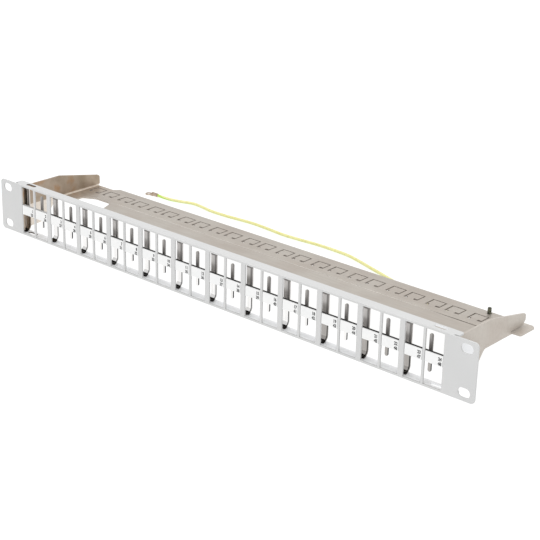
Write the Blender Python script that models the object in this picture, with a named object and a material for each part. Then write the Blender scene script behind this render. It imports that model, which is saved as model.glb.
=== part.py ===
"""A blank 19 inch, one unit patch panel with 48 ports, its rear cable manager and its earth lead.

The frame: X runs along the panel, to the right as seen from the front. Y runs from the front to the rear.
Z is up. The origin is the middle of the rectangle that the panel stands on, at the bottom of the panel.
"""

import math

import bmesh
import bpy
from mathutils import Matrix, Vector

MM = 0.001

# Rack panel, from the 19 inch standard: width, height of one unit, and the mounting slots.
PANEL_WIDTH = 482.6 * MM
PANEL_HEIGHT = 43.8 * MM
PANEL_CORNER = 3.0 * MM
SHEET = 1.2 * MM
SLOT_SPACING_X = 465.1 * MM
SLOT_SPACING_Z = 31.75 * MM
SLOT_LENGTH = 10.0 * MM
SLOT_WIDTH = 7.0 * MM

# Depth of the whole object, from the front face to the rear edge of the tie bar.
DEPTH = 97.0 * MM
FRONT = -DEPTH / 2
FLANGE_DEPTH = 9.0 * MM
FLANGE_WIDTH = 448.6 * MM
CHEEK_INSIDE = 222.3 * MM

# Port openings, in pairs: a thin web between the two of a pair, a wide web between pairs.
PAIRS = 12
PORT_WIDTH = 15.0 * MM
THIN_WEB = 1.9 * MM
PAIR_PITCH = 36.15 * MM
PAIR_WIDTH = 2 * PORT_WIDTH + THIN_WEB
PORT_LOW = 1.4 * MM
PORT_HIGH = 42.4 * MM
LABEL_LOW = 18.1 * MM
LABEL_HIGH = 26.3 * MM
LABEL_WIDTH = 14.4 * MM
PEG_RADIUS = 0.8 * MM
PEG_HOLE = 1.2 * MM

# Catch frame: the bare steel ladder that the port modules latch against.
CATCH_DEPTH = 8.1 * MM
CATCH_SHEET = 1.0 * MM
STRAP_WIDTH = 5.6 * MM
STRAP_BEFORE_PORT = 5.1 * MM
HOOK_RADIUS = 4.7 * MM
STRAP_END = 2.0 * MM
TONGUE_WIDTH = 2.8 * MM
TONGUE_LOW = 7.5 * MM
TONGUE_HIGH = 35.8 * MM
RAIL_LOW = 21.1 * MM
RAIL_HIGH = 22.7 * MM

# Cable manager: two side arms folded up from a horizontal tie bar.
BAR_TOP = 21.8 * MM
BAR_SHEET = 1.5 * MM
ARM_OUTSIDE = 220.7 * MM
LIP_RADIUS = 3.0 * MM
BEND_SEGMENTS = 6

# Faces that meet at a smaller angle than this, in radians, count as one flat face.
FLAT = 0.001

# Earth terminal: an M3 stud through the tie bar, with the lug, the washer and the nut under the bar.
STUD_X = 191.0 * MM
STUD_Y = FRONT + 91.7 * MM
STUD_RADIUS = 1.5 * MM
STUD_LOW = 13.0 * MM
STUD_HIGH = 26.2 * MM
STUD_HOLE = 1.8 * MM
COLLAR_RADIUS = 2.8 * MM
COLLAR_LOW = 19.1 * MM
COLLAR_HIGH = 20.0 * MM
WASHER_RADIUS = 3.0 * MM
WASHER_LOW = 17.1 * MM
WASHER_HIGH = 17.6 * MM
NUT_FLATS = 5.5 * MM
NUT_LOW = 14.4 * MM
NUT_HIGH = 16.8 * MM

# Ring lugs, drawn with the eye at the origin and the barrel along X.
LUG_SHEET = 0.8 * MM
LUG_EYE = 3.1 * MM
LUG_NECK = 1.5 * MM
BARREL_START = 5.0 * MM
BARREL_END = 12.6 * MM
BARREL_RADIUS = 1.7 * MM
PANEL_LUG_TOP = 18.8 * MM
FREE_LUG_PLACE = (-216.0 * MM, 100.3 * MM, 0.02 * MM)
FREE_LUG_TURN = -0.03

# Earth lead: where its centre line runs, from the lug under the tie bar to the loose one on the table.
WIRE_RADIUS = 1.3 * MM
WIRE_SPACING = 6.0 * MM
LEAD_ROUTE = [
    (0.1781, 0.0432, 0.0171),
    (0.1738, 0.0435, 0.0167),
    (0.1684, 0.0448, 0.0152),
    (0.1618, 0.0476, 0.0124),
    (0.1538, 0.0516, 0.0085),
    (0.1447, 0.0565, 0.0049),
    (0.1317, 0.0630, 0.0023),
    (0.1157, 0.0700, 0.0014),
    (0.0967, 0.0775, 0.0014),
    (0.0777, 0.0843, 0.0014),
    (0.0587, 0.0907, 0.0014),
    (0.0447, 0.0952, 0.0014),
    (0.0311, 0.0997, 0.0014),
    (0.0157, 0.1039, 0.0014),
    (-0.0013, 0.1054, 0.0014),
    (-0.0203, 0.1055, 0.0014),
    (-0.0383, 0.1041, 0.0014),
    (-0.0553, 0.1034, 0.0014),
    (-0.0733, 0.1051, 0.0014),
    (-0.0913, 0.1063, 0.0014),
    (-0.1073, 0.1053, 0.0014),
    (-0.1243, 0.1039, 0.0014),
    (-0.1413, 0.1041, 0.0014),
    (-0.1553, 0.1065, 0.0014),
    (-0.1663, 0.1071, 0.0014),
    (-0.1768, 0.1037, 0.0014),
    (-0.1873, 0.1009, 0.0014),
    (-0.1963, 0.1000, 0.0016),
    (-0.2031, 0.0999, 0.0017),
]


def clear_scene():
    for obj in list(bpy.data.objects):
        bpy.data.objects.remove(obj)


def new_collection(name):
    made = bpy.data.collections.new(name)
    bpy.context.scene.collection.children.link(made)
    return made


def new_material(name, colour, roughness, metallic):
    made = bpy.data.materials.new(name)
    made.use_nodes = True
    shader = made.node_tree.nodes["Principled BSDF"]
    shader.inputs["Base Color"].default_value = (*colour, 1.0)
    shader.inputs["Roughness"].default_value = roughness
    shader.inputs["Metallic"].default_value = metallic
    return made


def new_object(name, mesh, material=None):
    """A part when it has a material, and a cutter or a helper when it has none."""
    obj = bpy.data.objects.new(name, mesh)
    if material is None:
        cutters.objects.link(obj)
        obj.hide_render = True
        obj.display_type = "WIRE"
    else:
        parts.objects.link(obj)
        mesh.materials.clear()
        mesh.materials.append(material)
    return obj


def settle(work):
    """Rounds every coordinate to a tenth of a micrometre, so that faces meant to be level are exactly so."""
    for vert in work.verts:
        vert.co = [round(value, 7) for value in vert.co]


def box_mesh(low, high):
    mesh = bpy.data.meshes.new("box")
    work = bmesh.new()
    bmesh.ops.create_cube(work, size=1.0)
    size = Vector(high) - Vector(low)
    middle = (Vector(high) + Vector(low)) / 2
    bmesh.ops.scale(work, vec=size, verts=work.verts)
    bmesh.ops.translate(work, vec=middle, verts=work.verts)
    settle(work)
    work.to_mesh(mesh)
    work.free()
    return mesh


def cylinder_mesh(radius, low, high, segments=24):
    """An upright cylinder about the Z axis."""
    mesh = bpy.data.meshes.new("cylinder")
    work = bmesh.new()
    bmesh.ops.create_cone(
        work, cap_ends=True, segments=segments, radius1=radius, radius2=radius, depth=high - low
    )
    bmesh.ops.translate(work, vec=(0, 0, (high + low) / 2), verts=work.verts)
    work.to_mesh(mesh)
    work.free()
    return mesh


def plate_mesh(outlines, low, high, turn=None):
    """A flat plate between low and high: the first outline is its edge, the others are its holes.

    Outlines lie in the XY plane, and turn carries the plate to where it belongs.
    """
    curve = bpy.data.curves.new("plate", "CURVE")
    curve.dimensions = "2D"
    curve.fill_mode = "BOTH"
    curve.extrude = (high - low) / 2
    for outline in outlines:
        spline = curve.splines.new("POLY")
        spline.points.add(len(outline) - 1)
        spline.use_cyclic_u = True
        for point, (x, y) in zip(spline.points, outline):
            point.co = (x, y, 0, 1)
    holder = bpy.data.objects.new("plate", curve)
    cutters.objects.link(holder)
    bpy.context.view_layer.update()
    graph = bpy.context.evaluated_depsgraph_get()
    mesh = bpy.data.meshes.new_from_object(holder.evaluated_get(graph))
    bpy.data.objects.remove(holder)
    work = bmesh.new()
    work.from_mesh(mesh)
    bmesh.ops.remove_doubles(work, verts=work.verts, dist=1e-6)
    bmesh.ops.dissolve_degenerate(work, dist=1e-6, edges=work.edges)
    bmesh.ops.dissolve_limit(work, angle_limit=FLAT, verts=work.verts, edges=work.edges)
    bmesh.ops.translate(work, vec=(0, 0, (high + low) / 2), verts=work.verts)
    bmesh.ops.transform(work, matrix=turn or Matrix(), verts=work.verts)
    settle(work)
    bmesh.ops.recalc_face_normals(work, faces=work.faces)
    work.to_mesh(mesh)
    work.free()
    return mesh


# Plates drawn as (x, z) and spread along Y, and plates drawn as (y, z) and spread along X.
FACING_FRONT = Matrix(((1, 0, 0, 0), (0, 0, 1, 0), (0, 1, 0, 0), (0, 0, 0, 1)))
FACING_SIDE = Matrix(((0, 0, 1, 0), (1, 0, 0, 0), (0, 1, 0, 0), (0, 0, 0, 1)))


def arc(centre, radius, start, end, segments):
    """Points along an arc, angles in degrees."""
    step = math.radians(end - start) / segments
    angles = [math.radians(start) + step * i for i in range(segments + 1)]
    return [(centre[0] + radius * math.cos(a), centre[1] + radius * math.sin(a)) for a in angles]


def rounded_box(low, high, radius, segments=4):
    """A rectangle with four round corners, counterclockwise."""
    x0, y0 = low
    x1, y1 = high
    corners = [
        ((x1 - radius, y0 + radius), -90),
        ((x1 - radius, y1 - radius), 0),
        ((x0 + radius, y1 - radius), 90),
        ((x0 + radius, y0 + radius), 180),
    ]
    points = []
    for centre, start in corners:
        points += arc(centre, radius, start, start + 90, segments)
    return points


def obround(x, y, length, width, segments=8):
    """A slot with round ends, its length along the first axis."""
    reach = (length - width) / 2
    right = arc((x + reach, y), width / 2, -90, 90, segments)
    left = arc((x - reach, y), width / 2, 90, 270, segments)
    return right + left


def rectangle(x0, y0, x1, y1):
    return [(x0, y0), (x1, y0), (x1, y1), (x0, y1)]


def rounded(points, radii, segments=4):
    """A polygon whose corners are rounded by the radii, zero for a sharp one."""
    result = []
    count = len(points)
    for i, (point, radius) in enumerate(zip(points, radii)):
        here = Vector(point)
        if radius == 0:
            result.append(tuple(here))
            continue
        back = (Vector(points[i - 1]) - here).normalized()
        ahead = (Vector(points[(i + 1) % count]) - here).normalized()
        half = back.angle(ahead) / 2
        reach = radius / math.tan(half)
        centre = here + (back + ahead).normalized() * (radius / math.sin(half))
        first = here + back * reach - centre
        sweep = first.angle_signed(here + ahead * reach - centre)
        for k in range(segments + 1):
            turned = first.copy()
            turned.rotate(Matrix.Rotation(-sweep * k / segments, 2))
            result.append(tuple(centre + turned))
    return result


def combine(obj, others, operation):
    """Applies one Boolean after another to the object, and removes what it was done with."""
    for index, other in enumerate(others):
        modifier = obj.modifiers.new(f"{operation.lower()}_{index}", "BOOLEAN")
        modifier.operation = operation
        modifier.solver = "EXACT"
        modifier.object = other
    bpy.context.view_layer.update()
    graph = bpy.context.evaluated_depsgraph_get()
    result = bpy.data.meshes.new_from_object(obj.evaluated_get(graph))
    material = obj.data.materials[0] if obj.data.materials else None
    obj.modifiers.clear()
    obj.data = result
    if material is not None:
        result.materials.clear()
        result.materials.append(material)
    for other in others:
        bpy.data.objects.remove(other)


def smooth(obj, angle=40):
    obj.data.shade_smooth()
    obj.data.set_sharp_from_angle(angle=math.radians(angle))


def port_edges():
    """The left edge of each of the 24 columns of ports."""
    first = -((PAIRS - 1) * PAIR_PITCH + PAIR_WIDTH) / 2
    for pair in range(PAIRS):
        for side in range(2):
            yield first + pair * PAIR_PITCH + side * (PORT_WIDTH + THIN_WEB)


def pair_edges():
    return list(port_edges())[::2]


def make_front_panel():
    """The painted front: ears with slots, 24 port columns, and a flange along the top and the bottom."""
    half = PANEL_WIDTH / 2
    edge = rounded_box((-half, 0), (half, PANEL_HEIGHT), PANEL_CORNER)
    panel = new_object("front_panel", plate_mesh([edge], FRONT, FRONT + SHEET, FACING_FRONT), paint)
    flanges = []
    for z in (0, PANEL_HEIGHT - SHEET):
        flanges.append(new_object("flange", plate_mesh([flange_outline()], z, z + SHEET)))
    combine(panel, flanges, "UNION")
    cuts = []
    for outline in front_cuts():
        cuts.append(new_object("cut", plate_mesh([outline], FRONT - SHEET, FRONT + 2 * SHEET, FACING_FRONT)))
    for outline in flange_cuts():
        for z in (-SHEET, PANEL_HEIGHT - 2 * SHEET):
            cuts.append(new_object("cut", plate_mesh([outline], z, z + 3 * SHEET)))
    combine(panel, cuts, "DIFFERENCE")
    return panel


def front_cuts():
    """The mounting slots and the port columns, as outlines in the plane of the front."""
    for x in (-SLOT_SPACING_X / 2, SLOT_SPACING_X / 2):
        for z in (-SLOT_SPACING_Z / 2, SLOT_SPACING_Z / 2):
            yield obround(x, PANEL_HEIGHT / 2 + z, SLOT_LENGTH, SLOT_WIDTH)
    for x in port_edges():
        yield rectangle(x, PORT_LOW, x + PORT_WIDTH, PORT_HIGH)


def flange_outline():
    """A flange in plan, with its rear corners rounded."""
    half = FLANGE_WIDTH / 2
    inside = FRONT + SHEET / 2
    rear = FRONT + FLANGE_DEPTH
    corner = 2.0 * MM
    edge = [(-half, inside), (half, inside)]
    edge += arc((half - corner, rear - corner), corner, 0, 90, 3)
    edge += arc((-half + corner, rear - corner), corner, 90, 180, 3)
    return edge


def flange_cuts():
    """Seen in plan, near each end: a tab slot, and the slit that frees the flange's end from the plate."""
    for side in (-1, 1):
        yield obround(side * 207.8 * MM, FRONT + 5.1 * MM, 11.0 * MM, 3.4 * MM, 4)
        yield obround(side * 225.0 * MM, FRONT + SHEET + 0.6 * MM, 8.0 * MM, 1.4 * MM, 4)


def make_cheeks():
    """A painted stiffening cheek behind each ear, beside the arm."""
    corners = [
        (1.5, 4.0, 0), (6.0, 4.0, 1.0), (29.3, 13.5, 3.0), (29.3, 27.0, 2.0), (5.5, 39.8, 2.0), (1.5, 39.8, 0),
    ]
    points = [(y * MM + FRONT, z * MM) for y, z, radius in corners]
    outline = rounded(points, [radius * MM for y, z, radius in corners])
    for name, low in (("cheek_left", -CHEEK_INSIDE - SHEET), ("cheek_right", CHEEK_INSIDE)):
        new_object(name, plate_mesh([outline], low, low + SHEET, FACING_SIDE), paint)


def peg_places():
    """The two pegs of each marking plate, as distances from the plate's middle."""
    return (-5.0 * MM, 5.0 * MM)


def make_label_rail():
    """A strip behind the webs that holds the marking plates, with a hole for each peg."""
    half = 215.1 * MM
    outlines = [rectangle(-half, 17.9 * MM, half, 26.4 * MM)]
    height = (LABEL_LOW + LABEL_HIGH) / 2
    for x in port_edges():
        for peg in peg_places():
            centre = (x + PORT_WIDTH / 2 + peg, height)
            outlines.append(arc(centre, PEG_HOLE, 0, 315, 7))
    mesh = plate_mesh(outlines, FRONT + 1.5 * MM, FRONT + 2.7 * MM, FACING_FRONT)
    return new_object("label_rail", mesh, steel)


def label_mesh():
    """A marking plate about its own middle, with the pegs behind it."""
    half = LABEL_WIDTH / 2
    height = (LABEL_HIGH - LABEL_LOW) / 2 - 0.15 * MM
    plate = new_object("plate", box_mesh((-half, 0.1 * MM, -height), (half, 1.1 * MM, height)))
    pegs = []
    for x in peg_places():
        peg = new_object("peg", cylinder_mesh(PEG_RADIUS, -3.2 * MM, -0.6 * MM, 8))
        peg.data.transform(Matrix.Translation((x, 0, 0)) @ Matrix.Rotation(math.pi / 2, 4, "X"))
        pegs.append(peg)
    combine(plate, pegs, "UNION")
    mesh = plate.data
    bpy.data.objects.remove(plate)
    return mesh


def make_labels():
    mesh = label_mesh()
    height = (LABEL_LOW + LABEL_HIGH) / 2
    for number, x in enumerate(port_edges(), start=1):
        label = new_object(f"label_plate_{number:02d}", mesh, plastic)
        label.location = (x + PORT_WIDTH / 2, FRONT, height)
        smooth(label)


def ladder_outline():
    """The flat part of the catch frame: a rail crossed by a strap and a tongue for each pair of ports.

    The straps stop where their hooks begin, and the tongues have round ends.
    """
    rail_half = 218.9 * MM
    strap_low = HOOK_RADIUS + STRAP_END
    strap_high = PANEL_HEIGHT - strap_low
    bars = []
    for left in pair_edges():
        start = max(left - STRAP_BEFORE_PORT, -218.8 * MM)
        end = left - STRAP_BEFORE_PORT + STRAP_WIDTH
        bars.append((start, end, strap_low, strap_high, 0))
        tongue = left + PORT_WIDTH
        bars.append((tongue, tongue + TONGUE_WIDTH, TONGUE_LOW, TONGUE_HIGH, TONGUE_WIDTH / 2))
    edge = [(-rail_half, RAIL_HIGH), (-rail_half, RAIL_LOW)]
    for start, end, low, high, radius in bars:
        edge.append((start, RAIL_LOW))
        edge += bar_end(start, end, low, radius, 180)
        edge.append((end, RAIL_LOW))
    edge += [(rail_half, RAIL_LOW), (rail_half, RAIL_HIGH)]
    for start, end, low, high, radius in reversed(bars):
        edge.append((end, RAIL_HIGH))
        edge += bar_end(start, end, high, radius, 0)
        edge.append((start, RAIL_HIGH))
    return edge


def bar_end(start, end, height, radius, angle):
    """One end of a vertical bar, square or round; the arc turns half a circle from the angle."""
    if radius == 0:
        return [(start, height), (end, height)] if angle == 180 else [(end, height), (start, height)]
    inward = radius if angle == 180 else -radius
    return arc(((start + end) / 2, height + inward), radius, angle, angle + 180, 6)


def bend_hooks(mesh):
    """Bends every strap forward at its two ends, by drawing the end faces around a quarter circle."""
    strap_low = HOOK_RADIUS + STRAP_END
    work = bmesh.new()
    work.from_mesh(mesh)
    for height, way in ((strap_low, 1), (PANEL_HEIGHT - strap_low, -1)):
        centre = Vector((0, FRONT + CATCH_DEPTH - HOOK_RADIUS, height))
        step = Matrix.Rotation(-way * math.pi / 2 / BEND_SEGMENTS, 4, "X")
        turn = Matrix.Translation(centre) @ step @ Matrix.Translation(-centre)
        ends = [f for f in work.faces if end_face(f, height, -way)]
        for _ in range(BEND_SEGMENTS):
            made = bmesh.ops.extrude_face_region(work, geom=ends)
            bmesh.ops.delete(work, geom=ends, context="FACES_ONLY")
            ends = [item for item in made["geom"] if isinstance(item, bmesh.types.BMFace)]
            corners = [item for item in made["geom"] if isinstance(item, bmesh.types.BMVert)]
            bmesh.ops.transform(work, matrix=turn, verts=corners)
    bmesh.ops.recalc_face_normals(work, faces=work.faces)
    work.to_mesh(mesh)
    work.free()


def end_face(face, height, way):
    flat = abs(face.calc_center_median().z - height) < 1e-6
    return flat and face.normal.z * way > 0.9


def make_catch_frame():
    depth = FRONT + CATCH_DEPTH
    half = CATCH_SHEET / 2
    mesh = plate_mesh([ladder_outline()], depth - half, depth + half, FACING_FRONT)
    bend_hooks(mesh)
    frame = new_object("catch_frame", mesh, steel)
    smooth(frame)
    return frame


def place(points):
    """Points measured from the panel's left end and front face, in millimetres, as points of the model."""
    return [(x * MM - PANEL_WIDTH / 2, y * MM + FRONT) for x, y in points]


def bar_outline():
    """The tie bar in plan: a notch at its left, and a tab at its right."""
    corners = [
        (20.6, 44.0, 0), (36.0, 44.0, 0), (36.0, 59.0, 2.0), (47.0, 65.0, 6.0), (63.0, 65.0, 3.0),
        (67.5, 60.5, 3.0), (74.0, 44.0, 1.0), (462.0, 44.0, 0), (462.0, 75.0, 0), (469.0, 75.0, 1.5),
        (469.0, 94.0, 2.0), (45.0, 94.0, 0), (41.5, 90.0, 0), (20.6, 90.0, 0),
    ]
    points = place([(x, y) for x, y, radius in corners])
    return rounded(points, [radius * MM for x, y, radius in corners])


def lug_slots():
    """One T slot for each column of ports: cable ties loop around the tongue that it leaves."""
    for x in port_edges():
        centre = x + PORT_WIDTH / 2 - 0.9 * MM
        yield [
            (centre + dx * MM, FRONT + y * MM)
            for dx, y in (
                (-6.3, 74.2), (-3.2, 74.2), (-3.2, 76.4), (-5.0, 76.4), (-5.0, 84.4), (5.2, 84.4),
                (5.2, 76.4), (2.2, 76.4), (2.2, 74.2), (6.1, 74.2), (6.1, 85.3), (-6.3, 85.3),
            )
        ]


def arm_outline(slit):
    """A side arm from the side; the right one stands clear of the tab by a slit."""
    corners = [
        (1.5, 1.8, 0), (9.5, 1.8, 0), (12.0, 3.4, 2.0), (28.0, 4.6, 4.0), (40.4, 20.3, 4.0),
    ]
    if slit:
        corners += [(73.5, 20.3, 0), (73.5, 22.8, 0), (88.5, 22.8, 0), (91.9, 26.0, 0)]
    else:
        corners += [(89.8, 20.3, 0), (91.9, 23.5, 0)]
    corners += [(91.9, 30.9, 2.5), (46.5, 40.4, 6.0), (1.5, 40.4, 0)]
    points = [(y * MM + FRONT, z * MM) for y, z, radius in corners]
    return rounded(points, [radius * MM for y, z, radius in corners])


def lip_outline():
    """The rear edge of the tie bar, folded down, seen from the side."""
    centre = (FRONT + 94.0 * MM, BAR_TOP - LIP_RADIUS)
    start = [(FRONT + 93.0 * MM, BAR_TOP - BAR_SHEET), (FRONT + 94.0 * MM, BAR_TOP - BAR_SHEET)]
    inner = arc(centre, LIP_RADIUS - BAR_SHEET, 90, 0, BEND_SEGMENTS)[1:]
    outer = arc(centre, LIP_RADIUS, 0, 90, BEND_SEGMENTS)
    low = 18.0 * MM
    ends = [(inner[-1][0], low), (outer[0][0], low)]
    return start + inner + ends + outer + [(FRONT + 93.0 * MM, BAR_TOP)]


def make_cable_manager():
    """One folded sheet: the tie bar, its two arms, and the feet that are welded behind the ears."""
    bar = new_object("cable_manager", plate_mesh([bar_outline()], BAR_TOP - BAR_SHEET, BAR_TOP), zinc)
    added = []
    left = -ARM_OUTSIDE
    right = ARM_OUTSIDE - BAR_SHEET
    for low, slit in ((left, False), (right, True)):
        mesh = plate_mesh([arm_outline(slit)], low, low + BAR_SHEET, FACING_SIDE)
        added.append(new_object("arm", mesh))
    foot = 5.2 * MM
    for low in (left, ARM_OUTSIDE - foot):
        corners = ((low, FRONT + 1.5 * MM, 3.0 * MM), (low + foot, FRONT + 3.0 * MM, 40.4 * MM))
        added.append(new_object("foot", box_mesh(*corners)))
    (lip_start, _), (lip_end, _) = place([(45.0, 0), (466.0, 0)])
    added.append(new_object("lip", plate_mesh([lip_outline()], lip_start, lip_end, FACING_SIDE)))
    combine(bar, added, "UNION")
    (crease_start, crease_y), (crease_end, _) = place([(71.5, 66.5), (451.0, 66.5)])
    low = (crease_start, crease_y - 0.45 * MM, BAR_TOP - 0.35 * MM)
    high = (crease_end, crease_y + 0.45 * MM, BAR_TOP + 1.0 * MM)
    cuts = [new_object("crease", box_mesh(low, high))]
    for outline in [*lug_slots(), arc((STUD_X, STUD_Y), STUD_HOLE, 0, 345, 23)]:
        cuts.append(new_object("slot", plate_mesh([outline], BAR_TOP - 2 * MM, BAR_TOP + 1 * MM)))
    combine(bar, cuts, "DIFFERENCE")
    smooth(bar)
    return bar


def make_stud():
    """The M3 stud with the collar that it is riveted by."""
    stud = new_object("earth_stud", cylinder_mesh(STUD_RADIUS, STUD_LOW, STUD_HIGH), dark_steel)
    collar = new_object("collar", cylinder_mesh(COLLAR_RADIUS, COLLAR_LOW, COLLAR_HIGH))
    combine(stud, [collar], "UNION")
    stud.location = (STUD_X, STUD_Y, 0)
    smooth(stud)
    return stud


def make_washer():
    outlines = [arc((0, 0), WASHER_RADIUS, 0, 345, 23), arc((0, 0), STUD_HOLE, 0, 345, 23)]
    washer = new_object("earth_washer", plate_mesh(outlines, WASHER_LOW, WASHER_HIGH), zinc)
    washer.location = (STUD_X, STUD_Y, 0)
    smooth(washer)
    return washer


def make_nut():
    """A hexagon nut about the stud's axis."""
    corner = NUT_FLATS / 2 / math.cos(math.pi / 6)
    outlines = [arc((0, 0), corner, 0, 300, 5), arc((0, 0), STUD_HOLE, 0, 345, 23)]
    half = (NUT_HIGH - NUT_LOW) / 2
    nut = new_object("earth_nut", plate_mesh(outlines, -half, half), zinc)
    nut.location = (STUD_X, STUD_Y, NUT_LOW + half)
    smooth(nut)
    return nut


def lug_mesh():
    """A ring lug: an eye, a neck and a round crimp barrel, lying on the XY plane."""
    side = math.degrees(math.asin(LUG_NECK / LUG_EYE))
    eye = arc((0, 0), LUG_EYE, side, 360 - side, 24)
    end = BARREL_START + 1.0 * MM
    outline = [*eye, (end, -LUG_NECK), (end, LUG_NECK)]
    hole = arc((0, 0), STUD_HOLE, 0, 345, 23)
    lug = new_object("lug", plate_mesh([outline, hole], 0, LUG_SHEET))
    barrel = new_object("barrel", cylinder_mesh(BARREL_RADIUS, BARREL_START, BARREL_END, 20))
    turn = Matrix.Rotation(math.pi / 2, 4, "Y")
    barrel.data.transform(Matrix.Translation((0, 0, BARREL_RADIUS)) @ turn)
    combine(lug, [barrel], "UNION")
    mesh = lug.data
    bpy.data.objects.remove(lug)
    return mesh


def make_lugs():
    mesh = lug_mesh()
    bolted = new_object("earth_lug_panel", mesh, tin)
    bolted.location = (STUD_X, STUD_Y, PANEL_LUG_TOP)
    bolted.rotation_euler = (0, math.pi, 0)
    smooth(bolted)
    free = new_object("earth_lug_free", mesh, tin)
    free.location = FREE_LUG_PLACE
    free.rotation_euler = (0, 0, FREE_LUG_TURN)
    smooth(free)


def smooth_route(route, spacing):
    """Evenly spaced points along a smooth curve through the route."""
    points = [Vector(p) for p in route]
    ends = [2 * points[0] - points[1], *points, 2 * points[-1] - points[-2]]
    fine = []
    for a, b, c, d in zip(ends, ends[1:], ends[2:], ends[3:]):
        for i in range(20):
            t = i / 20
            fine.append(
                (2 * b + (c - a) * t + (2 * a - 5 * b + 4 * c - d) * t**2 + (3 * b - a - 3 * c + d) * t**3) / 2
            )
    fine.append(points[-1])
    lengths = [0.0]
    for a, b in zip(fine, fine[1:]):
        lengths.append(lengths[-1] + (b - a).length)
    steps = round(lengths[-1] / spacing)
    result = []
    index = 0
    for i in range(steps + 1):
        wanted = lengths[-1] * i / steps
        while index < len(fine) - 2 and lengths[index + 1] < wanted:
            index += 1
        share = (wanted - lengths[index]) / (lengths[index + 1] - lengths[index])
        result.append(fine[index].lerp(fine[index + 1], share))
    return result


def make_wire():
    """The lead's insulation as one closed tube."""
    curve = bpy.data.curves.new("earth_wire", "CURVE")
    curve.dimensions = "3D"
    curve.bevel_depth = WIRE_RADIUS
    curve.bevel_resolution = 2
    curve.use_fill_caps = True
    route = smooth_route(LEAD_ROUTE, WIRE_SPACING)
    spline = curve.splines.new("POLY")
    spline.points.add(len(route) - 1)
    for point, place_of in zip(spline.points, route):
        point.co = (*place_of, 1)
    holder = bpy.data.objects.new("wire", curve)
    cutters.objects.link(holder)
    bpy.context.view_layer.update()
    graph = bpy.context.evaluated_depsgraph_get()
    mesh = bpy.data.meshes.new_from_object(holder.evaluated_get(graph))
    bpy.data.objects.remove(holder)
    work = bmesh.new()
    work.from_mesh(mesh)
    bmesh.ops.remove_doubles(work, verts=work.verts, dist=1e-6)
    work.to_mesh(mesh)
    work.free()
    wire = new_object("earth_wire", mesh, yellow)
    smooth(wire)
    return wire


clear_scene()
parts = new_collection("patch_panel")
cutters = new_collection("cutters")
paint = new_material("paint", (0.66, 0.66, 0.66), 0.45, 0.0)
plastic = new_material("plastic", (0.88, 0.88, 0.88), 0.40, 0.0)
steel = new_material("steel", (0.45, 0.44, 0.43), 0.25, 1.0)
zinc = new_material("zinc", (0.55, 0.50, 0.46), 0.35, 1.0)
dark_steel = new_material("dark_steel", (0.20, 0.20, 0.17), 0.35, 1.0)
tin = new_material("tin", (0.50, 0.45, 0.40), 0.35, 1.0)
yellow = new_material("yellow", (0.70, 0.68, 0.08), 0.45, 0.0)
make_front_panel()
make_cheeks()
make_label_rail()
make_labels()
make_catch_frame()
make_cable_manager()
make_stud()
make_washer()
make_nut()
make_lugs()
make_wire()
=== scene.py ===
"""The looks of the patch panel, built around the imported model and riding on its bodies."""

import math

import bmesh
import bpy
from mathutils import Matrix, Vector


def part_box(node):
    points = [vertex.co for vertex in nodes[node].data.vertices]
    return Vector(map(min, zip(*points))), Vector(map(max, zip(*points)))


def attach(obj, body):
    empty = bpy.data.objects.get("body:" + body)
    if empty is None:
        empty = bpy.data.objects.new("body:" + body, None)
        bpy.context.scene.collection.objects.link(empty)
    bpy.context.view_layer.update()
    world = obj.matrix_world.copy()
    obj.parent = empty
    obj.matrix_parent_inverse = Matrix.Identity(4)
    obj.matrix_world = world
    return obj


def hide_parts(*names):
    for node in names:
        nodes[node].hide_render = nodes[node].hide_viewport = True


MM = 0.001
PANEL_HEIGHT = 43.8 * MM

# Studio light: the even white surroundings, two soft boxes in watts, and a table that glows from within.
WORLD_STRENGTH = 0.80
TOP_POWER = 17.2
FRONT_POWER = 5.0
FLOOR_GLOW = 0.92
FLOOR_SIZE = 6.0
FLOOR_DROP = 0.2 * MM

# The camera: its azimuth round from the front, its height above the ground as an angle, and its roll.
CAMERA_PLACE = (0.68708, -0.77193, 0.42573)
CAMERA_LENS = 95.54
CAMERA_SENSOR = 36.0
CAMERA_AZIMUTH = math.radians(40.818)
CAMERA_ELEVATION = math.radians(21.714)
CAMERA_ROLL = math.radians(1.407)

# The earth lead: its route from the lug under the tie bar to the loose one, as in the CAD model.
WIRE_RADIUS = 1.3 * MM
WIRE_SPACING = 2.5 * MM
LEAD_ROUTE = [
    (0.1781, 0.0432, 0.0171),
    (0.1738, 0.0435, 0.0167),
    (0.1684, 0.0448, 0.0152),
    (0.1618, 0.0476, 0.0124),
    (0.1538, 0.0516, 0.0085),
    (0.1447, 0.0565, 0.0049),
    (0.1317, 0.0630, 0.0023),
    (0.1157, 0.0700, 0.0014),
    (0.0967, 0.0775, 0.0014),
    (0.0777, 0.0843, 0.0014),
    (0.0587, 0.0907, 0.0014),
    (0.0447, 0.0952, 0.0014),
    (0.0311, 0.0997, 0.0014),
    (0.0157, 0.1039, 0.0014),
    (-0.0013, 0.1054, 0.0014),
    (-0.0203, 0.1055, 0.0014),
    (-0.0383, 0.1041, 0.0014),
    (-0.0553, 0.1034, 0.0014),
    (-0.0733, 0.1051, 0.0014),
    (-0.0913, 0.1063, 0.0014),
    (-0.1073, 0.1053, 0.0014),
    (-0.1243, 0.1039, 0.0014),
    (-0.1413, 0.1041, 0.0014),
    (-0.1553, 0.1065, 0.0014),
    (-0.1663, 0.1071, 0.0014),
    (-0.1768, 0.1037, 0.0014),
    (-0.1873, 0.1009, 0.0014),
    (-0.1963, 0.1000, 0.0016),
    (-0.2031, 0.0999, 0.0017),
]

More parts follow.
